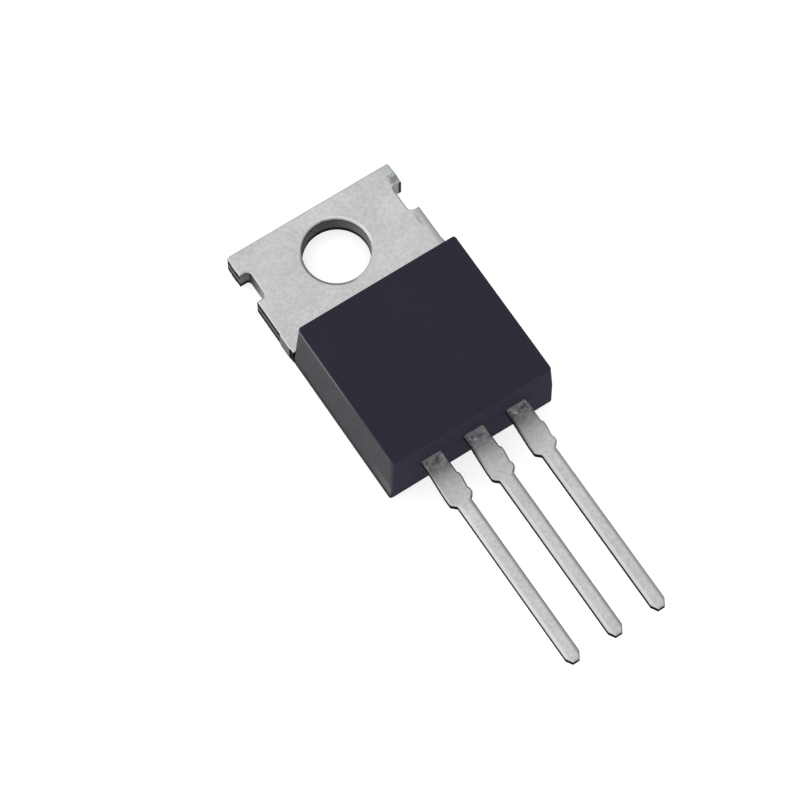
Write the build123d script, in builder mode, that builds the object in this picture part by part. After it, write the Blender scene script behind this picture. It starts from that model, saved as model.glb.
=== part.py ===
from build123d import *
import os
from math import radians, tan

# Power MOSFET with three leads and a metal tab, lying on its back.
# The origin is on the axis of the mounting hole, in the mounting face. +Z points out of the
# front face, +Y towards the end of the tab, and the leads point towards -Y.
# Sizes are in millimetres and angles in degrees.

# Thick part of the header: the tab and the die pad
tab_width = 9.95
tab_thickness = 1.27
tab_exposed = 6.4  # from the end of the tab to the moulding
tab_corner_radius = 0.15
hole_diameter = 3.6
hole_to_tab_end = 2.8
rollover_radius = 0.12  # edges that the punch has drawn down
ear_length = 1.3  # from the end of the tab to the side notch
notch_length = 1.67
notch_depth = 0.57
notch_ear_radius = 0.2  # corner next to the ear
notch_root_radius = 0.28
pad_width = 8.9
pad_length = 6.25
pad_corner_radius = 0.4
lock_ledge_width = 0.35  # the moulding grips under this ledge
lock_ledge_height = 0.5
seal_groove_width = 0.4
seal_groove_depth = 0.2
seal_groove_setback = 0.6

# Stubs where tie bars were sheared off the sides of the tab
ear_stub_length = 0.4
ear_stub_proud = 0.02
ear_stub_setback = 0.72  # from the end of the tab to the middle of the stub
side_stub_length = 0.85
side_stub_proud = 0.04
side_stub_setback = 0.75  # from the moulding to the middle of the stub
stub_fairing = 0.1  # from the side of the tab out to the full stub
stub_fairing_radius = 0.15

# Leads
lead_pitch = 2.54
lead_thickness = 0.46
lead_height = 2.38  # underside of the leads above the mounting face
lead_length = 12.9  # from the moulding to the tip
lead_width = 0.82
shoulder_width = 1.2
shoulder_length = 2.96  # from the moulding to the end of the shoulder
shoulder_slope = 0.25  # the shoulder's end slopes back this far
shoulder_radius = 0.2
inner_radius = 0.12
lead_edge_break = 0.08  # edges of the leads that the punch has drawn down
tip_width = 0.39
tip_taper_length = 0.36

# Remains of the dam bar on each side of a shoulder. On the -X side the cut has run out gently.
# On the +X side it has left a step, a tear that runs inwards, and a tooth.
dam_stub_proud = 0.09
dam_swell_length = 1.6
dam_swell_end = 0.8  # from the end of the shoulder
dam_step_ramp = 0.12
dam_step_setback = 1.6  # from the end of the shoulder
tear_length = 0.56
tear_depth = 0.08
tooth_proud = 0.07
tooth_length = 0.5  # from the end of the shoulder
tooth_ramp = 0.14

# Joggle that lifts the drain lead from the pad to the height of the others
joggle_angle = 60.0
joggle_radius = 0.5
joggle_lead_in = 0.35
joggle_root = 0.8  # how far the thin strip runs into the pad

# Bond posts of the gate and source leads
post_length = 1.5
post_corner_radius = 0.25
post_gap = 0.65  # to the drain lead
post_side_cover = 0.9
post_end_cover = 0.9

# Chip and solder
die_width = 4.6
die_length = 3.4
die_thickness = 0.28
die_corner_radius = 0.05
die_to_pad_end = 1.2
solder_thickness = 0.05
solder_margin = 0.15
metal_relief = 0.02  # height of the chip's two bond pads
metal_border = 0.2
gate_pad_size = 0.7
gate_pad_gap = 0.15

# Bond wires
source_wire_diameter = 0.5
source_wire_offset = 1.1  # from the chip's centre line to the foot on its source pad
source_wire_setback = 1.0  # from the chip's edge to the same foot
source_wire_rise = 0.8  # corner of the loop above the bond post
source_foot_length = 0.7
gate_wire_diameter = 0.2
gate_wire_rise = 0.55
gate_foot_length = 0.3
foot_squash = 0.6  # height of a foot's centre line, as a share of the wire's radius
crest_radius = 1.0  # bend at the top of a loop

# Moulding. Its sides have one draft from back to front, and its lead end is drafted both ways
# from the underside of the leads.
body_width = 9.92  # at the back
body_length = 9.16  # from the front of the tab to the underside of the leads
body_height = 4.45
body_corner_radius = 0.15
body_edge_radius = 0.06
side_draft = 3.0
tab_end_draft = 4.0
lead_end_draft = 3.0
back_recess = 0.05  # the moulding stays clear of the mounting face

# Places along the part
tab_end_y = hole_to_tab_end
body_tab_end_y = tab_end_y - tab_exposed
body_lead_end_y = body_tab_end_y - body_length
pad_end_y = body_tab_end_y - pad_length
shoulder_end_y = body_lead_end_y - shoulder_length
tip_y = body_lead_end_y - lead_length
post_y = body_lead_end_y + post_end_cover + post_length / 2
die_y = pad_end_y + die_to_pad_end + die_length / 2

# Places across the part
tab_half = tab_width / 2
pad_half = pad_width / 2
body_half = body_width / 2
post_inner_x = shoulder_width / 2 + post_gap
post_outer_x = body_half - post_side_cover
post_width = post_outer_x - post_inner_x
post_x = (post_inner_x + post_outer_x) / 2

# Heights
lead_top = lead_height + lead_thickness
solder_top = tab_thickness + solder_thickness
die_top = solder_top + die_thickness
bond_pad_top = die_top + metal_relief


def flat_lead(centre_x, root_y):
    """Flat lead: shoulder, remains of the dam bar, narrow leg and tapered tip."""
    shoulder_half = shoulder_width / 2
    stub_half = shoulder_half + dam_stub_proud
    leg_half = lead_width / 2
    swell_end_y = shoulder_end_y + dam_swell_end
    slope_y = shoulder_end_y + shoulder_slope
    taper_y = tip_y + tip_taper_length
    tooth_half = shoulder_half + tooth_proud
    tooth_y = shoulder_end_y + tooth_length
    tear_y = tooth_y + tooth_ramp
    step_y = shoulder_end_y + dam_step_setback
    corners = (
        (-shoulder_half, root_y, 0),
        (-shoulder_half, swell_end_y + dam_swell_length, 0),
        (-stub_half, swell_end_y, 0),
        (-stub_half, slope_y, shoulder_radius),
        (-leg_half, shoulder_end_y, inner_radius),
        (-leg_half, taper_y, 0),
        (-tip_width / 2, tip_y, 0),
        (tip_width / 2, tip_y, 0),
        (leg_half, taper_y, 0),
        (leg_half, shoulder_end_y, inner_radius),
        (tooth_half, slope_y, shoulder_radius),
        (tooth_half, tooth_y, 0),
        (stub_half - tear_depth, tear_y, 0),
        (stub_half, tear_y + tear_length, 0),
        (stub_half, step_y - dam_step_ramp, 0),
        (shoulder_half, step_y, 0),
        (shoulder_half, root_y, 0),
    )
    with BuildPart() as lead:
        with BuildSketch(Plane((centre_x, 0, lead_height))):
            with BuildLine():
                FilletPolyline(
                    [(x, y) for x, y, radius in corners],
                    radius=[radius for x, y, radius in corners],
                    close=True,
                )
            make_face()
        extrude(amount=lead_thickness)
        front_edges = lead.faces().sort_by(Axis.Z)[-1].edges()
        chamfer(front_edges.sort_by(Axis.Y)[:-1], lead_edge_break)
    return lead.part


def outer_lead(side):
    """Gate lead (side -1) or source lead (side 1), with its bond post in the moulding."""
    with BuildPart() as lead:
        add(flat_lead(side * lead_pitch, post_y))
        with BuildSketch(Plane((side * post_x, post_y, lead_height))):
            RectangleRounded(post_width, post_length, post_corner_radius)
        extrude(amount=lead_thickness)
    return lead


def bond_wire(start, end, diameter, foot_length, rise, landings):
    """Round wire with a flat foot at each end, looping over in an upright plane."""
    span = Vector(end) - Vector(start)
    run = Vector(span.X, span.Y, 0)
    heading = run.normalized()
    foot_height = foot_squash * diameter / 2
    half_foot = foot_length / 2
    with BuildPart() as wire:
        with BuildLine(Plane(start, x_dir=heading, z_dir=heading.cross(Vector(0, 0, 1)))) as route:
            loop = FilletPolyline(
                (-half_foot, foot_height),
                (half_foot, foot_height),
                (run.length / 2, span.Z + rise),
                (run.length - half_foot, span.Z + foot_height),
                (run.length + half_foot, span.Z + foot_height),
                radius=(0, crest_radius, 0),
            )
        with BuildSketch(Plane(loop @ 0, z_dir=loop % 0)):
            Circle(diameter / 2)
        sweep(path=route.wire(), transition=Transition.RIGHT)
        for landing in landings:
            add(landing.part, mode=Mode.SUBTRACT)
    return wire


# Header: tab, die pad and drain lead, stamped and formed from one strip of two thicknesses
with BuildPart() as drain_header:
    ear_end_y = tab_end_y - ear_length
    notch_end_y = ear_end_y - notch_length
    ear_stub_top_y = tab_end_y - ear_stub_setback + ear_stub_length / 2
    ear_stub_low_y = ear_stub_top_y - ear_stub_length
    side_stub_top_y = body_tab_end_y + side_stub_setback + side_stub_length / 2
    side_stub_low_y = side_stub_top_y - side_stub_length
    corners = (
        (0, tab_end_y, 0),
        (tab_half, tab_end_y, tab_corner_radius),
        (tab_half, ear_stub_top_y + stub_fairing, stub_fairing_radius),
        (tab_half + ear_stub_proud, ear_stub_top_y, stub_fairing_radius),
        (tab_half + ear_stub_proud, ear_stub_low_y, stub_fairing_radius),
        (tab_half, ear_stub_low_y - stub_fairing, stub_fairing_radius),
        (tab_half, ear_end_y, 0),
        (tab_half - notch_depth, ear_end_y, notch_ear_radius),
        (tab_half - notch_depth, notch_end_y, notch_root_radius),
        (tab_half, notch_end_y, 0),
        (tab_half, side_stub_top_y + stub_fairing, stub_fairing_radius),
        (tab_half + side_stub_proud, side_stub_top_y, stub_fairing_radius),
        (tab_half + side_stub_proud, side_stub_low_y, stub_fairing_radius),
        (tab_half, side_stub_low_y - stub_fairing, stub_fairing_radius),
        (tab_half, body_tab_end_y, 0),
        (pad_half, body_tab_end_y, 0),
        (pad_half, pad_end_y, pad_corner_radius),
        (0, pad_end_y, 0),
    )
    with BuildSketch():
        with BuildLine():
            FilletPolyline(
                [(x, y) for x, y, radius in corners],
                radius=[radius for x, y, radius in corners[1:-1]],
            )
            mirror(about=Plane.YZ)
        make_face()
        Circle(hole_diameter / 2, mode=Mode.SUBTRACT)
    extrude(amount=tab_thickness)

    # Rolled-over edges of the exposed tab and its hole
    front_edges = drain_header.faces().sort_by(Axis.Z)[-1].edges()
    fillet(front_edges.filter_by(lambda e: e.center().Y > body_tab_end_y + rollover_radius), rollover_radius)

    # Ledge round the pad's back, which the moulding grips
    land_half = pad_half - lock_ledge_width
    land_end_y = pad_end_y + lock_ledge_width
    with BuildSketch():
        with Locations((0, body_tab_end_y)):
            Rectangle(tab_width, pad_length, align=(Align.CENTER, Align.MAX))
        with BuildLine():
            FilletPolyline(
                (0, body_tab_end_y),
                (land_half, body_tab_end_y),
                (land_half, land_end_y),
                (0, land_end_y),
                radius=(0, pad_corner_radius),
            )
            mirror(about=Plane.YZ)
        make_face(mode=Mode.SUBTRACT)
    extrude(amount=lock_ledge_height, mode=Mode.SUBTRACT)

    # Seal groove across the front of the pad, just inside the moulding
    with BuildSketch(Plane.YZ):
        with Locations((body_tab_end_y - seal_groove_setback, tab_thickness)):
            Polygon(
                (-seal_groove_width / 2, 0),
                (0, -seal_groove_depth),
                (seal_groove_width / 2, 0),
                align=None,
            )
    extrude(amount=pad_half, both=True, mode=Mode.SUBTRACT)

    # Joggled root of the drain lead
    low_centre = tab_thickness - lead_thickness / 2
    high_centre = lead_height + lead_thickness / 2
    joggle_start_y = pad_end_y - joggle_lead_in
    joggle_end_y = joggle_start_y - (high_centre - low_centre) / tan(radians(joggle_angle))
    flat_start_y = joggle_end_y - joggle_radius
    with BuildSketch(Plane.YZ):
        with BuildLine():
            FilletPolyline(
                (pad_end_y + joggle_root, low_centre),
                (joggle_start_y, low_centre),
                (joggle_end_y, high_centre),
                (flat_start_y, high_centre),
                radius=joggle_radius,
            )
        trace(line_width=lead_thickness)
    extrude(amount=shoulder_width / 2, both=True)

    # Flat length of the drain lead
    add(flat_lead(0, flat_start_y))

# Outer leads
gate_lead = outer_lead(-1)
source_lead = outer_lead(1)

# Solder under the chip, with a sloping edge
with BuildPart() as die_solder:
    with BuildSketch(Plane((0, die_y, tab_thickness))):
        RectangleRounded(die_width + 2 * solder_margin, die_length + 2 * solder_margin, solder_margin)
    with BuildSketch(Plane((0, die_y, solder_top))):
        RectangleRounded(die_width + solder_margin, die_length + solder_margin, solder_margin)
    loft()

# Chip, with a gate pad in one corner and the source pad over the rest
with BuildPart() as mosfet_die:
    with BuildSketch(Plane((0, die_y, solder_top))):
        RectangleRounded(die_width, die_length, die_corner_radius)
    extrude(amount=die_thickness)
    gate_pad_corner = (metal_border - die_width / 2, metal_border - die_length / 2)
    with BuildSketch(Plane((0, die_y, die_top))):
        Rectangle(die_width - 2 * metal_border, die_length - 2 * metal_border)
        with Locations(gate_pad_corner):
            Rectangle(
                gate_pad_size + gate_pad_gap,
                gate_pad_size + gate_pad_gap,
                align=(Align.MIN, Align.MIN),
                mode=Mode.SUBTRACT,
            )
            Rectangle(gate_pad_size, gate_pad_size, align=(Align.MIN, Align.MIN))
    extrude(amount=metal_relief)

# Bond wires from the chip's pads to the bond posts
gate_wire = bond_wire(
    (gate_pad_corner[0] + gate_pad_size / 2, die_y + gate_pad_corner[1] + gate_pad_size / 2, bond_pad_top),
    (-post_x, post_y, lead_top),
    gate_wire_diameter,
    gate_foot_length,
    gate_wire_rise,
    (mosfet_die, gate_lead),
)
source_wire = bond_wire(
    (source_wire_offset, die_y - die_length / 2 + source_wire_setback, bond_pad_top),
    (post_x, post_y, lead_top),
    source_wire_diameter,
    source_foot_length,
    source_wire_rise,
    (mosfet_die, source_lead),
)


def body_outline(height):
    """Outline of the moulding at one height."""
    width = body_width - 2 * (height - back_recess) * tan(radians(side_draft))
    tab_face_y = body_tab_end_y - (height - tab_thickness) * tan(radians(tab_end_draft))
    lead_face_y = body_lead_end_y + abs(height - lead_height) * tan(radians(lead_end_draft))
    with BuildSketch(Plane((0, (tab_face_y + lead_face_y) / 2, height))) as outline:
        RectangleRounded(width, tab_face_y - lead_face_y, body_corner_radius)
    return outline.sketch


# Moulding, closed round every piece it holds
with BuildPart() as moulded_body:
    loft([body_outline(back_recess), body_outline(lead_height)], ruled=True)
    loft([body_outline(lead_height), body_outline(body_height)], ruled=True)
    fillet(moulded_body.faces().sort_by(Axis.Z)[-1].edges(), body_edge_radius)
    for piece in (drain_header, gate_lead, source_lead, die_solder, mosfet_die, gate_wire, source_wire):
        add(piece.part, mode=Mode.SUBTRACT)

# Write each piece
pieces = {
    "drain_header": drain_header,
    "gate_lead": gate_lead,
    "source_lead": source_lead,
    "die_solder": die_solder,
    "mosfet_die": mosfet_die,
    "gate_wire": gate_wire,
    "source_wire": source_wire,
    "moulded_body": moulded_body,
}
os.makedirs("parts", exist_ok=True)
for node, piece in pieces.items():
    piece.part.label = node
    export_step(piece.part, f"parts/{node}.step")
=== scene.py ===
import math

import bpy
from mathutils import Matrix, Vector


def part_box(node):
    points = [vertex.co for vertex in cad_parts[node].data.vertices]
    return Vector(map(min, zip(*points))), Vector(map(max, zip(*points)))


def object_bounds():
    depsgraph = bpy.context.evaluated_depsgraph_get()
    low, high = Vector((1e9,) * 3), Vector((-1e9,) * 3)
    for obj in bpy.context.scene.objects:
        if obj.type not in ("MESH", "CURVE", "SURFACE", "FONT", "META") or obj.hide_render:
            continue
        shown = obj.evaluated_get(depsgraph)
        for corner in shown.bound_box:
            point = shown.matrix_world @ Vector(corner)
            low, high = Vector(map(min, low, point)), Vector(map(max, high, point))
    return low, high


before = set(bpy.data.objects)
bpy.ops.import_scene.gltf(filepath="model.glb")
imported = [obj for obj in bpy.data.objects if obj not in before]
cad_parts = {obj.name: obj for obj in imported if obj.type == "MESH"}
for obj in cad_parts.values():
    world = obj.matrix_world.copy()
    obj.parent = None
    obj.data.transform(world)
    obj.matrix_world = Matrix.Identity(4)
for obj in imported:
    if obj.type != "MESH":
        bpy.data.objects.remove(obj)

# Power MOSFET in a three-lead tab package, lying on its back.
# Metres, in the frame of the solids: +Z out of the moulding's front face, leads towards -Y.
mm = 0.001

cad_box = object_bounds()
moulding_low, moulding_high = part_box("moulded_body")
header_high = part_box("drain_header")[1]
tab_thickness = 1.27 * mm
tab_half = 4.975 * mm  # half its width, without the tie-bar stubs
hole_radius = 1.8 * mm
ear_low_y = 1.5 * mm  # the ears end and the side notches start
notch_low_y = -0.17 * mm  # the side notches end
side_stub_low_y = -3.275 * mm  # the big tie-bar stubs end, next to the moulding
leg_top_y = -15.72 * mm  # the leads narrow to legs
lead_pitch = 2.54 * mm


# ---------------------------------------------------------------- camera
def towards(azimuth, elevation):
    """Unit direction from the part to a place round it: azimuth 0 is -Y and 90 is +X."""
    turn, rise = math.radians(azimuth), math.radians(elevation)
    level_part = math.cos(rise)
    return Vector((math.sin(turn) * level_part, -math.cos(turn) * level_part, math.sin(rise)))


view_target = Vector((-0.001897, -0.008871, 0.0015))
view_direction = towards(-33.245, 67.197)
view_distance = 0.202075

camera_data = bpy.data.cameras.new("camera")
camera_data.lens = 179.2
camera_data.sensor_width = 36.0
camera_data.clip_start = 0.01
camera = bpy.data.objects.new("camera", camera_data)
bpy.context.scene.collection.objects.link(camera)
camera.location = view_target + view_direction * view_distance
camera.rotation_euler = view_direction.to_track_quat("Z", "Y").to_euler()
bpy.context.scene.camera = camera
bpy.context.scene.view_settings.view_transform = "Standard"


# ---------------------------------------------------------------- lamps
def lamp(name, azimuth, elevation, distance, width, height, watts):
    """Rectangular softbox, facing the middle of the part."""
    data = bpy.data.lights.new(name, "AREA")
    data.shape = "RECTANGLE"
    data.size = width
    data.size_y = height
    data.energy = watts
    box = bpy.data.objects.new(name, data)
    bpy.context.scene.collection.objects.link(box)
    direction = towards(azimuth, elevation)
    box.location = (cad_box[0] + cad_box[1]) / 2 + direction * distance
    box.rotation_euler = direction.to_track_quat("Z", "Y").to_euler()


lamp("key_softbox", azimuth=190, elevation=60, distance=0.50, width=0.40, height=0.40, watts=0.18)
lamp("side_strip", azimuth=-109, elevation=14, distance=0.40, width=0.25, height=0.12, watts=0.05)


# ---------------------------------------------------------------- material tools
def colour(code):
    """sRGB hex value as linear red, green, blue and alpha."""
    parts = [int(code[i:i + 2], 16) / 255 for i in (1, 3, 5)]
    return [c / 12.92 if c <= 0.04045 else ((c + 0.055) / 1.055) ** 2.4 for c in parts] + [1.0]


def add(tree, kind, inputs=None, stops=(), **settings):
    """Adds a node with its settings, its inputs and a ramp's (position, colour) stops.

    An input is given a value, or linked to an output or to a node's first output in use.
    """
    made = tree.nodes.new(kind)
    for name, value in settings.items():
        setattr(made, name, value)
    for socket, value in (inputs or {}).items():
        if isinstance(value, bpy.types.Node):
            value = next(output for output in value.outputs if output.enabled)
        if isinstance(value, bpy.types.NodeSocket):
            tree.links.new(value, made.inputs[socket])
        else:
            made.inputs[socket].default_value = value
    for number, (position, code) in enumerate(stops):
        points = made.color_ramp.elements
        point = points[number] if number < 2 else points.new(position)
        point.position = position
        point.color = colour(code)
    return made


def per_mm(size):
    """Texture scale for a pattern whose features are this many millimetres across."""
    return 1000 / size


def new_material(name):
    """Empty node material."""
    made = bpy.data.materials.new(name)
    made.use_nodes = True
    made.node_tree.nodes.clear()
    return made, made.node_tree


def finish_node(node, material):
    """Puts a material in a CAD node's slots."""
    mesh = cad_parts[node].data
    mesh.materials.clear()
    mesh.materials.append(material)


# ---------------------------------------------------------------- world and floor
# The sky and the card light the part at a plain level, and both are white where they are seen.
sky_light = 0.72
card_lift = 0.62
floor_size = 3.0
floor_gap = 0.01 * mm

world = bpy.data.worlds.new("studio")
bpy.context.scene.world = world
world.use_nodes = True
w = world.node_tree
w.nodes.clear()
ray = add(w, "ShaderNodeLightPath").outputs
seen = add(w, "ShaderNodeMath", {0: ray["Is Camera Ray"], 1: ray["Is Glossy Ray"]},
           operation="MAXIMUM")
seen = add(w, "ShaderNodeMath", {0: seen, 1: ray["Is Transmission Ray"]}, operation="MAXIMUM")
strength = add(w, "ShaderNodeMapRange", {"Value": seen, "To Min": sky_light, "To Max": 1.0})
sky = add(w, "ShaderNodeBackground", {"Color": colour("#ffffff"), "Strength": strength})
add(w, "ShaderNodeOutputWorld", {"Surface": sky})

# Matte white card under the part. What the eye or a reflection sees of it is lifted to white,
# and it still takes the part's soft shadow.
card, k = new_material("Matte_white_card")
ray = add(k, "ShaderNodeLightPath").outputs
seen = add(k, "ShaderNodeMath", {0: ray["Is Camera Ray"], 1: ray["Is Glossy Ray"]},
           operation="MAXIMUM")
seen = add(k, "ShaderNodeMath", {0: seen, 1: ray["Is Transmission Ray"]}, operation="MAXIMUM")
lift = add(k, "ShaderNodeMath", {0: seen, 1: card_lift}, operation="MULTIPLY")
glow = add(k, "ShaderNodeEmission", {"Color": colour("#ffffff"), "Strength": lift})
paper = add(k, "ShaderNodeBsdfDiffuse", {"Color": colour("#f4f4f4")})
both = add(k, "ShaderNodeAddShader", {0: paper, 1: glow})
add(k, "ShaderNodeOutputMaterial", {"Surface": both})

bpy.ops.object.select_all(action="DESELECT")
bpy.ops.mesh.primitive_plane_add(size=floor_size, location=(0, 0, -floor_gap))
floor = bpy.context.object
floor.name = "floor"
floor.data.materials.append(card)


# ---------------------------------------------------------------- tin plate on copper
# Matte electroplated tin over a stamped copper strip. It looks satin and pale grey with a fine
# mottle. The punched edges are drawn down, with painted highlights and painted shade on them, and
# the sheared sides are rough, with painted dark reflections of the shaded floor.
tin, t = new_material("Matte_tin_plate_on_stamped_copper")
place = add(t, "ShaderNodeTexCoord").outputs["Object"]
x, y, z = add(t, "ShaderNodeSeparateXYZ", {0: place}).outputs
normal = add(t, "ShaderNodeNewGeometry").outputs["Normal"]
facing_x, facing_y, facing_z = add(t, "ShaderNodeSeparateXYZ", {0: normal}).outputs
level = add(t, "ShaderNodeMath", {0: facing_z}, operation="ABSOLUTE")
from_middle = add(t, "ShaderNodeMath", {0: x}, operation="ABSOLUTE")
on_tab = add(t, "ShaderNodeMath", {0: y, 1: moulding_high.y - 1.0 * mm}, operation="GREATER_THAN")
on_leads = add(t, "ShaderNodeMath", {0: y, 1: (moulding_low.y + moulding_high.y) / 2},
               operation="LESS_THAN")

# Plated grain in clusters about 0.2 mm across, with slower clouds of 2 mm
grain = add(t, "ShaderNodeTexNoise",
            {"Vector": place, "Scale": per_mm(0.2), "Detail": 4.0, "Roughness": 0.7})
clouds = add(t, "ShaderNodeTexNoise",
             {"Vector": place, "Scale": per_mm(2.0), "Detail": 2.0, "Roughness": 0.5})
mottle = add(t, "ShaderNodeMix", {"Factor": 0.3, "A": grain, "B": clouds})
plate = add(t, "ShaderNodeValToRGB", {0: mottle}, ((0.32, "#a9a9a9"), (0.68, "#cbcbcb")))

# Painted shade of a wider rolled edge darkens the tab's +X edge, in a band 0.4 mm wide below the
# notch
edge_shade_band = add(t, "ShaderNodeMapRange",
                 {"Value": x, "From Min": tab_half - 0.45 * mm, "From Max": tab_half - 0.1 * mm,
                  "To Max": 0.8}, interpolation_type="SMOOTHSTEP")
below_notch = add(t, "ShaderNodeMath", {0: y, 1: notch_low_y}, operation="LESS_THAN")
edge_shade = add(t, "ShaderNodeMath", {0: edge_shade_band, 1: below_notch}, operation="MULTIPLY")
top = add(t, "ShaderNodeMix", {"Factor": edge_shade, "A": plate, "B": colour("#949496")},
          data_type="RGBA")

# A short streak of painted shade from a slight bend runs along beside that edge, about five times
# as long as it is wide
bend_shade_squeeze = 0.22
bend_shade_middle = (4.53 * mm, -0.183 * mm, 0.0)  # with its Y squeezed too
squeezed = add(t, "ShaderNodeVectorMath", {0: place, 1: (1.0, bend_shade_squeeze, 0.0)},
               operation="MULTIPLY")
bend_shade_reach = add(t, "ShaderNodeVectorMath", {0: squeezed, 1: bend_shade_middle}, operation="DISTANCE")
bend_shade = add(t, "ShaderNodeMapRange",
            {"Value": bend_shade_reach, "From Min": 0.14 * mm, "From Max": 0.04 * mm, "To Max": 0.55},
            interpolation_type="SMOOTHSTEP")
top = add(t, "ShaderNodeMix", {"Factor": bend_shade, "A": top, "B": colour("#8c8c8d")},
          data_type="RGBA")

# The end of the tab next to its +X corner has a faint bluish tarnish, about 1 mm across
tab_corner = (tab_half, header_high.y, tab_thickness)
from_corner = add(t, "ShaderNodeVectorMath", {0: place, 1: tab_corner}, operation="DISTANCE")
tarnish = add(t, "ShaderNodeMapRange",
              {"Value": from_corner, "From Min": 1.3 * mm, "From Max": 0.3 * mm, "To Max": 0.8},
              interpolation_type="SMOOTHSTEP")
top = add(t, "ShaderNodeMix", {"Factor": tarnish, "A": top, "B": colour("#a9afb3")},
          data_type="RGBA")

# A tie bar sheared off the +X ear has torn the plate beside it, in ragged patches 0.2 mm across
torn_middle = (tab_half - 0.25 * mm, 1.84 * mm, tab_thickness)
rags = add(t, "ShaderNodeTexNoise",
           {"Vector": place, "Scale": per_mm(0.16), "Detail": 4.0, "Roughness": 0.7})
reach = add(t, "ShaderNodeVectorMath", {0: place, 1: torn_middle}, operation="DISTANCE")
ragged = add(t, "ShaderNodeMath", {0: rags, 1: 0.8 * mm, 2: reach}, operation="MULTIPLY_ADD")
torn_plate = add(t, "ShaderNodeMapRange",
                 {"Value": ragged, "From Min": 0.77 * mm, "From Max": 0.54 * mm},
                 interpolation_type="SMOOTHSTEP")
top = add(t, "ShaderNodeMix", {"Factor": torn_plate, "A": top, "B": colour("#7e7e81")},
          data_type="RGBA")

# The punch has drawn the hole's edge down gently, with painted shade next to the -X -Y side and a
# painted highlight opposite
highlight_way = (0.83, 0.55, 0.0)
flat_place = add(t, "ShaderNodeCombineXYZ", {"X": x, "Y": y})
from_axis = add(t, "ShaderNodeVectorMath", {0: flat_place}, operation="LENGTH")
ring = add(t, "ShaderNodeMapRange",
           {"Value": from_axis, "From Min": hole_radius + 0.19 * mm,
            "From Max": hole_radius + 0.12 * mm}, interpolation_type="SMOOTHSTEP")
highlight_across_hole = add(t, "ShaderNodeVectorMath", {0: place, 1: highlight_way}, operation="DOT_PRODUCT")
highlight_across_hole = add(t, "ShaderNodeMapRange",
                {"Value": highlight_across_hole, "From Min": -hole_radius, "From Max": hole_radius})
ring_light_and_shade = add(t, "ShaderNodeValToRGB", {0: highlight_across_hole},
                ((0.05, "#6e6e6e"), (0.15, "#808080"), (0.24, "#b8b8b8"), (0.8, "#b8b8b8"),
                 (0.92, "#e0e0e0")))
top = add(t, "ShaderNodeMix", {"Factor": ring, "A": top, "B": ring_light_and_shade}, data_type="RGBA")

# On the narrow legs the -X edge has a painted highlight, and the +X edge has painted shade over a
# wider band and looks grey
across_lead = add(t, "ShaderNodeMath", {0: x, 1: lead_pitch / 2, 2: -lead_pitch / 2},
                  operation="WRAP")
leg_edge_shade = add(t, "ShaderNodeMapRange",
               {"Value": across_lead, "From Min": 0.16 * mm, "From Max": 0.3 * mm, "To Max": 0.8},
               interpolation_type="SMOOTHSTEP")
on_leg = add(t, "ShaderNodeMath", {0: y, 1: leg_top_y}, operation="LESS_THAN")
leg_highlight = add(t, "ShaderNodeMapRange",
                 {"Value": across_lead, "From Min": -0.2 * mm, "From Max": -0.32 * mm,
                  "To Max": 0.55}, interpolation_type="SMOOTHSTEP")
leg_highlight = add(t, "ShaderNodeMath", {0: leg_highlight, 1: on_leg}, operation="MULTIPLY")
top = add(t, "ShaderNodeMix", {"Factor": leg_highlight, "A": top, "B": colour("#e2e2e2")},
          data_type="RGBA")
leg_edge_shade = add(t, "ShaderNodeMath", {0: leg_edge_shade, 1: on_leg}, operation="MULTIPLY")
top = add(t, "ShaderNodeMix", {"Factor": leg_edge_shade, "A": top, "B": colour("#868686")},
          data_type="RGBA")

# Rounded edges: a painted highlight where they face -X, and painted shade where they turn grey
# towards +X
highlight_to_shade = add(t, "ShaderNodeMapRange", {"Value": facing_x, "From Min": -0.4, "From Max": 0.4})
rolled_light = add(t, "ShaderNodeValToRGB", {0: highlight_to_shade},
             ((0.0, "#cccccc"), (0.5, "#a8a8a8"), (1.0, "#868686")))
flat = add(t, "ShaderNodeMapRange", {"Value": level, "From Min": 0.9, "From Max": 0.995},
           interpolation_type="SMOOTHSTEP")
upper = add(t, "ShaderNodeMix", {"Factor": flat, "A": rolled_light, "B": top}, data_type="RGBA")

# The plate is painted darker where the leads leave the moulding, as the moulding's shade, in
# smeared streaks, and it is clean from about 4 mm out
shade_length = 4.5 * mm
blots = add(t, "ShaderNodeTexNoise",
            {"Vector": place, "Scale": per_mm(0.25), "Detail": 4.0, "Roughness": 0.75})
wander = add(t, "ShaderNodeMath", {0: blots, 1: 1.2 * mm, 2: -0.6 * mm}, operation="MULTIPLY_ADD")
along = add(t, "ShaderNodeMath", {0: y, 1: wander}, operation="ADD")
way_out = add(t, "ShaderNodeMapRange",
              {"Value": along, "From Min": moulding_low.y,
               "From Max": moulding_low.y - shade_length})
root_shade = add(t, "ShaderNodeValToRGB", {0: way_out},
           ((0.0, "#ffffff"), (0.05, "#fafafc"), (0.09, "#c6c6c8"), (0.18, "#bdbdbe"),
            (0.33, "#e3e3e3"), (0.5, "#ededed"), (0.8, "#ffffff")))
shade_smears = add(t, "ShaderNodeValToRGB", {0: blots}, ((0.35, "#a8a8aa"), (0.65, "#ffffff")))
near = add(t, "ShaderNodeMapRange", {"Value": way_out, "From Min": 0.5, "From Max": 0.15})
root_shade = add(t, "ShaderNodeMix", {"Factor": near, "A": root_shade, "B": shade_smears},
           data_type="RGBA", blend_type="MULTIPLY")
upper = add(t, "ShaderNodeMix", {"Factor": on_leads, "A": upper, "B": root_shade},
            data_type="RGBA", blend_type="MULTIPLY")

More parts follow.
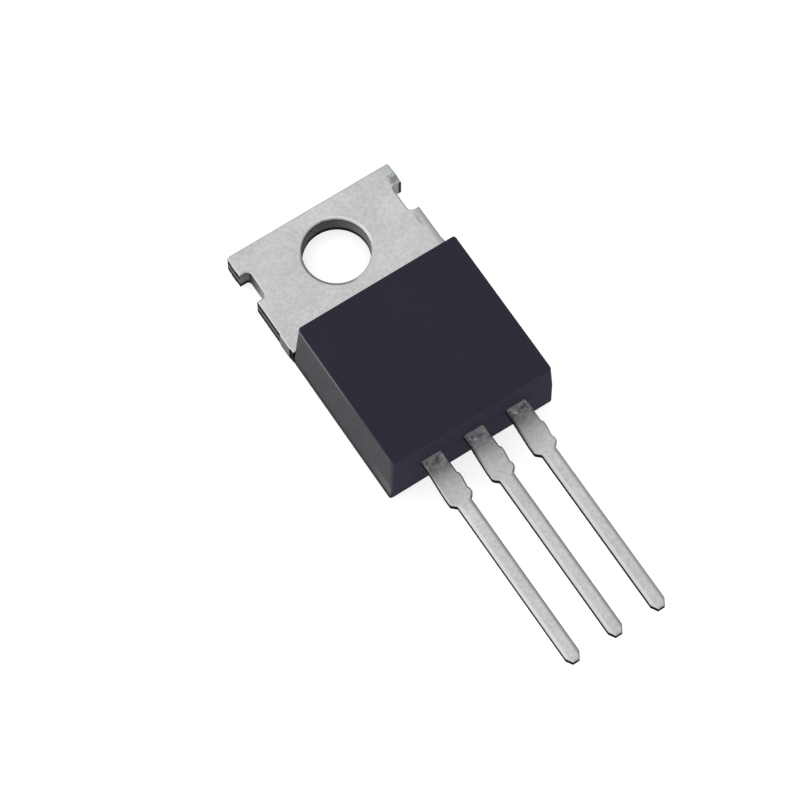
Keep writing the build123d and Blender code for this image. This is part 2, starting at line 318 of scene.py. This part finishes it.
# A ragged rim of pale flash, about 0.15 mm wide, clings round each root, mostly on its +X side
rim_y = add(t, "ShaderNodeMath", {0: blots, 1: 0.5 * mm, 2: y}, operation="MULTIPLY_ADD")
rim_y = add(t, "ShaderNodeMapRange",
            {"Value": rim_y, "From Min": moulding_low.y + 0.05 * mm,
             "From Max": moulding_low.y + 0.17 * mm})
rim_x = add(t, "ShaderNodeMapRange",
            {"Value": across_lead, "From Min": 0.4 * mm, "From Max": 0.52 * mm, "To Max": 0.7})
rim = add(t, "ShaderNodeMath", {0: rim_y, 1: rim_x}, operation="MAXIMUM")
at_root = add(t, "ShaderNodeMapRange",
              {"Value": way_out, "From Min": 0.15, "From Max": 0.07, "To Max": 0.75})
rim = add(t, "ShaderNodeMath", {0: rim, 1: at_root}, operation="MULTIPLY")
rim = add(t, "ShaderNodeMath", {0: rim, 1: on_leads}, operation="MULTIPLY")
upper = add(t, "ShaderNodeMix", {"Factor": rim, "A": upper, "B": colour("#c0c0c4")},
            data_type="RGBA")

# Sheared sides: painted dark reflections of the shaded floor, torn in grains of 0.3 mm
torn = add(t, "ShaderNodeTexNoise",
           {"Vector": place, "Scale": per_mm(0.3), "Detail": 4.0, "Roughness": 0.65})
shaded_lead_side = add(t, "ShaderNodeValToRGB", {0: torn}, ((0.4, "#0b0a0a"), (0.7, "#1b1a19")))

# The thick tab sheared in bands: a thin paler fracture band at mid height between two dark ones,
# which are painted dark reflections of the shaded floor
height = add(t, "ShaderNodeMapRange", {"Value": z, "From Min": 0.0, "From Max": tab_thickness})
uneven = add(t, "ShaderNodeMath", {0: torn, 1: 0.3, 2: -0.15}, operation="MULTIPLY_ADD")
banded = add(t, "ShaderNodeMath", {0: height, 1: uneven}, operation="ADD")
shaded_tab_side = add(t, "ShaderNodeValToRGB", {0: banded},
               ((0.0, "#080808"), (0.3, "#151414"), (0.42, "#706f6e"), (0.56, "#7a7978"),
                (0.68, "#1a1919"), (1.0, "#0c0b0b")))

# Round the hole and on the faces towards the leads the cut is smoother and paler, with painted
# light and shade across it, darkest at the hole's -X end and paler towards +X, and with dark rims
# of painted shade above and below that are faint on the +X ear
across = add(t, "ShaderNodeMapRange", {"Value": x, "From Min": -tab_half, "From Max": tab_half})
smooth_cut_light = add(t, "ShaderNodeValToRGB", {0: across},
                 ((0.0, "#8a8988"), (0.345, "#161515"), (0.385, "#636261"), (0.58, "#6c6b6a"),
                  (0.68, "#918f8e"), (0.94, "#bfbebd"), (0.98, "#bfbebd"), (0.986, "#403f3e")))
rim_shade = add(t, "ShaderNodeValToRGB", {0: height},
           ((0.0, "#1c1c1c"), (0.18, "#343434"), (0.34, "#ffffff"), (0.85, "#ffffff"),
            (0.97, "#606060")))
rim_shade_depth = add(t, "ShaderNodeMapRange",
                {"Value": across, "From Min": 0.85, "From Max": 0.9, "To Min": 1.0, "To Max": 0.25})
smooth_cut_light = add(t, "ShaderNodeMix", {"Factor": rim_shade_depth, "A": smooth_cut_light, "B": rim_shade},
                 data_type="RGBA", blend_type="MULTIPLY")
to_leads = add(t, "ShaderNodeMapRange",
               {"Value": facing_y, "From Min": -0.3, "From Max": -0.95},
               interpolation_type="SMOOTHSTEP")
in_hole = add(t, "ShaderNodeMath", {0: from_axis, 1: hole_radius + 0.2 * mm},
              operation="LESS_THAN")
smooth = add(t, "ShaderNodeMath", {0: to_leads, 1: in_hole}, operation="MAXIMUM")

# In the side notches the cut has the ear's painted shadow, paling away from the ear
down_notch = add(t, "ShaderNodeMapRange",
                 {"Value": y, "From Min": ear_low_y, "From Max": notch_low_y})
notch_side_shadow = add(t, "ShaderNodeValToRGB", {0: down_notch},
                 ((0.0, "#353433"), (0.12, "#474645"), (0.25, "#646361"), (0.42, "#737270"),
                  (0.6, "#92918f"), (0.85, "#b6b5b3")))
inside = add(t, "ShaderNodeMath", {0: from_middle, 1: tab_half - 0.1 * mm},
             operation="LESS_THAN")
below_ear = add(t, "ShaderNodeMath", {0: y, 1: ear_low_y + 0.1 * mm}, operation="LESS_THAN")
in_notch = add(t, "ShaderNodeMath", {0: inside, 1: below_ear}, operation="MULTIPLY")
shaded_tab_side = add(t, "ShaderNodeMix", {"Factor": in_notch, "A": shaded_tab_side, "B": notch_side_shadow},
               data_type="RGBA")
shaded_tab_side = add(t, "ShaderNodeMix", {"Factor": smooth, "A": shaded_tab_side, "B": smooth_cut_light},
               data_type="RGBA")

# Fresh break faces of the tie bars are paler, and the side next to the moulding is black with
# flash
fresh = add(t, "ShaderNodeMath", {0: from_middle, 1: tab_half + 0.025 * mm},
            operation="GREATER_THAN")
shaded_tab_side = add(t, "ShaderNodeMix", {"Factor": fresh, "A": shaded_tab_side, "B": colour("#7e7d7c")},
               data_type="RGBA")
flash = add(t, "ShaderNodeMath", {0: y, 1: side_stub_low_y}, operation="LESS_THAN")
shaded_tab_side = add(t, "ShaderNodeMix", {"Factor": flash, "A": shaded_tab_side, "B": colour("#0a0a0a")},
               data_type="RGBA")
side = add(t, "ShaderNodeMix", {"Factor": on_tab, "A": shaded_lead_side, "B": shaded_tab_side},
           data_type="RGBA")

# On the tab's end and the sides that face +X the painted dark reflections and painted light are
# evened out towards a plain grey
evened_share = 0.6
evened_end = add(t, "ShaderNodeMapRange",
                {"Value": facing_y, "From Min": 0.3, "From Max": 0.9, "To Max": evened_share})
evened_side = add(t, "ShaderNodeMapRange",
                 {"Value": facing_x, "From Min": 0.6, "From Max": 0.95, "To Max": evened_share})
evened = add(t, "ShaderNodeMath", {0: evened_end, 1: evened_side}, operation="MAXIMUM")
evened = add(t, "ShaderNodeMath", {0: evened, 1: smooth}, operation="SUBTRACT", use_clamp=True)
side = add(t, "ShaderNodeMix", {"Factor": evened, "A": side, "B": colour("#565554")},
           data_type="RGBA")

edge = add(t, "ShaderNodeMapRange", {"Value": level, "From Min": 0.3, "From Max": 0.55},
           interpolation_type="SMOOTHSTEP")
skin = add(t, "ShaderNodeMix", {"Factor": edge, "A": side, "B": upper}, data_type="RGBA")

# The plate is satin, and the sheared sides scatter nearly all that they reflect
satin = add(t, "ShaderNodeMapRange", {"Value": grain, "To Min": 0.34, "To Max": 0.5})
sheen = add(t, "ShaderNodeMix", {"Factor": edge, "A": 0.88, "B": satin})
relief = add(t, "ShaderNodeBump", {"Height": grain, "Strength": 0.4, "Distance": 0.003 * mm})
metal = add(t, "ShaderNodeBsdfPrincipled",
            {"Base Color": skin, "Metallic": 1.0, "Roughness": sheen, "Normal": relief})
add(t, "ShaderNodeOutputMaterial", {"Surface": metal})
for node in ("drain_header", "gate_lead", "source_lead"):
    finish_node(node, tin)


# ---------------------------------------------------------------- moulding compound
# Silica-filled epoxy, moulded in a spark-eroded tool: blue-black and matte, with a fine even grain.
# The long sides are painted greyer, as painted light from the side, with faint blotches.
epoxy, e = new_material("Black_epoxy_moulding_compound")
place = add(e, "ShaderNodeTexCoord").outputs["Object"]
_, y, z = add(e, "ShaderNodeSeparateXYZ", {0: place}).outputs
normal = add(e, "ShaderNodeNewGeometry").outputs["Normal"]
facing_x, facing_y, _ = add(e, "ShaderNodeSeparateXYZ", {0: normal}).outputs
pits = add(e, "ShaderNodeTexNoise",
           {"Vector": place, "Scale": per_mm(0.12), "Detail": 2.0, "Roughness": 0.5})
haze = add(e, "ShaderNodeTexNoise",
           {"Vector": place, "Scale": per_mm(3.0), "Detail": 2.0, "Roughness": 0.5})
tone = add(e, "ShaderNodeValToRGB", {0: haze}, ((0.35, "#2b2836"), (0.65, "#2d2a38")))
blotches = add(e, "ShaderNodeTexNoise",
               {"Vector": place, "Scale": per_mm(0.5), "Detail": 3.0, "Roughness": 0.6})
side_light_grey = add(e, "ShaderNodeValToRGB", {0: blotches}, ((0.3, "#3e3d42"), (0.7, "#4a494f")))

# The painted side light stops short of the rounded top edge, and of the end next to the leads along
# a line that leans back by a tenth of its height
end_lean = -0.1
sideways = add(e, "ShaderNodeMath", {0: facing_x}, operation="ABSOLUTE")
lit_side = add(e, "ShaderNodeMapRange", {"Value": sideways, "From Min": 0.6, "From Max": 0.9},
             interpolation_type="SMOOTHSTEP")
below_top = add(e, "ShaderNodeMapRange",
                {"Value": z, "From Min": moulding_high.z - 0.1 * mm,
                 "From Max": moulding_high.z - 0.22 * mm})
lit_side = add(e, "ShaderNodeMath", {0: lit_side, 1: below_top}, operation="MULTIPLY")
slanted = add(e, "ShaderNodeMath", {0: z, 1: end_lean, 2: y}, operation="MULTIPLY_ADD")
before_end = add(e, "ShaderNodeMapRange",
                 {"Value": slanted, "From Min": moulding_low.y - 0.04 * mm,
                  "From Max": moulding_low.y + 0.12 * mm})
lit_side = add(e, "ShaderNodeMath", {0: lit_side, 1: before_end}, operation="MULTIPLY")
tone = add(e, "ShaderNodeMix", {"Factor": lit_side, "A": tone, "B": side_light_grey}, data_type="RGBA")

# The end face next to the leads is a little paler
endways = add(e, "ShaderNodeMapRange", {"Value": facing_y, "From Min": -0.6, "From Max": -0.9})
tone = add(e, "ShaderNodeMix", {"Factor": endways, "A": tone, "B": colour("#393645")},
           data_type="RGBA")

# Below their top edges the long sides have a painted highlight next to the tab, and painted light
# low down next to the leads. The foot of each long side has painted shade. Where a side rounds
# over, its height counts for less.
upright_z = add(e, "ShaderNodeMath", {0: sideways, 1: z}, operation="MULTIPLY")
top_edge = add(e, "ShaderNodeMapRange",
               {"Value": upright_z, "From Min": moulding_high.z - 0.46 * mm,
                "From Max": moulding_high.z - 0.34 * mm})
next_to_tab = add(e, "ShaderNodeMapRange",
                  {"Value": y, "From Min": -9.8 * mm, "From Max": -7.2 * mm})
top_edge_highlight = add(e, "ShaderNodeMath", {0: top_edge, 1: next_to_tab}, operation="MULTIPLY")
top_edge_highlight = add(e, "ShaderNodeMath", {0: top_edge_highlight, 1: lit_side}, operation="MULTIPLY")
tone = add(e, "ShaderNodeMix", {"Factor": top_edge_highlight, "A": tone, "B": colour("#7a7980")},
           data_type="RGBA")
next_to_leads = add(e, "ShaderNodeMapRange",
                    {"Value": y, "From Min": moulding_low.y + 2.0 * mm,
                     "From Max": moulding_low.y + 0.7 * mm})
low_down = add(e, "ShaderNodeMapRange",
               {"Value": z, "From Min": 1.7 * mm, "From Max": 1.2 * mm})
low_corner_light = add(e, "ShaderNodeMath", {0: next_to_leads, 1: low_down}, operation="MULTIPLY")
low_corner_light = add(e, "ShaderNodeMath", {0: low_corner_light, 1: lit_side}, operation="MULTIPLY")
tone = add(e, "ShaderNodeMix", {"Factor": low_corner_light, "A": tone, "B": colour("#66656b")},
           data_type="RGBA")
foot_shade = add(e, "ShaderNodeMapRange", {"Value": z, "From Min": 0.7 * mm, "From Max": 0.3 * mm})
foot_shade = add(e, "ShaderNodeMath", {0: foot_shade, 1: lit_side}, operation="MULTIPLY")
tone = add(e, "ShaderNodeMix", {"Factor": foot_shade, "A": tone, "B": colour("#0c0b0e")},
           data_type="RGBA")

gloss = add(e, "ShaderNodeMapRange", {"Value": pits, "To Min": 0.6, "To Max": 0.74})
gloss = add(e, "ShaderNodeMix", {"Factor": endways, "A": gloss, "B": 0.95})
relief = add(e, "ShaderNodeBump", {"Height": pits, "Strength": 0.25, "Distance": 0.006 * mm})
plastic = add(e, "ShaderNodeBsdfPrincipled",
              {"Base Color": tone, "Roughness": gloss, "Normal": relief, "IOR": 1.5,
               "Specular IOR Level": 0.15})
add(e, "ShaderNodeOutputMaterial", {"Surface": plastic})
finish_node("moulded_body", epoxy)


# ---------------------------------------------------------------- pieces inside the moulding
# Soft solder, dull and slightly frosted, with grains about 0.1 mm across.
solder, s = new_material("Dull_lead_tin_solder")
place = add(s, "ShaderNodeTexCoord").outputs["Object"]
frost = add(s, "ShaderNodeTexNoise", {"Vector": place, "Scale": per_mm(0.1), "Detail": 3.0})
tone = add(s, "ShaderNodeValToRGB", {0: frost}, ((0.0, "#9c9da0"), (1.0, "#c3c4c6")))
rough = add(s, "ShaderNodeMapRange", {"Value": frost, "To Min": 0.4, "To Max": 0.6})
metal = add(s, "ShaderNodeBsdfPrincipled",
            {"Base Color": tone, "Metallic": 1.0, "Roughness": rough})
add(s, "ShaderNodeOutputMaterial", {"Surface": metal})
finish_node("die_solder", solder)

# Silicon with an aluminium face: the raised pads are pale and bright, and the sawn sides are
# dark grey with a fine grain from the saw.
chip, c = new_material("Sawn_silicon_with_aluminium_pads")
place = add(c, "ShaderNodeTexCoord").outputs["Object"]
height = add(c, "ShaderNodeSeparateXYZ", {0: place}).outputs["Z"]
chip_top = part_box("mosfet_die")[1].z
on_pad = add(c, "ShaderNodeMath", {0: height, 1: chip_top - 0.01 * mm}, operation="GREATER_THAN")
saw = add(c, "ShaderNodeTexNoise", {"Vector": place, "Scale": per_mm(0.05), "Detail": 2.0})
tone = add(c, "ShaderNodeValToRGB", {0: saw}, ((0.0, "#4b4e57"), (1.0, "#5e626c")))
skin = add(c, "ShaderNodeMix", {"Factor": on_pad, "A": tone, "B": colour("#d9dadb")},
           data_type="RGBA")
rough = add(c, "ShaderNodeMapRange", {"Value": saw, "To Min": 0.2, "To Max": 0.35})
metal = add(c, "ShaderNodeBsdfPrincipled",
            {"Base Color": skin, "Metallic": 0.8, "Roughness": rough})
add(c, "ShaderNodeOutputMaterial", {"Surface": metal})
finish_node("mosfet_die", chip)

# Drawn aluminium wire, bright, with a faint grain from the die.
drawn, d = new_material("Bright_drawn_aluminium_wire")
place = add(d, "ShaderNodeTexCoord").outputs["Object"]
lines = add(d, "ShaderNodeTexNoise", {"Vector": place, "Scale": per_mm(0.04), "Detail": 2.0})
tone = add(d, "ShaderNodeValToRGB", {0: lines}, ((0.0, "#d3d4d6"), (1.0, "#e6e7e8")))
rough = add(d, "ShaderNodeMapRange", {"Value": lines, "To Min": 0.22, "To Max": 0.34})
metal = add(d, "ShaderNodeBsdfPrincipled",
            {"Base Color": tone, "Metallic": 1.0, "Roughness": rough})
add(d, "ShaderNodeOutputMaterial", {"Surface": metal})
for node in ("gate_wire", "source_wire"):
    finish_node(node, drawn)
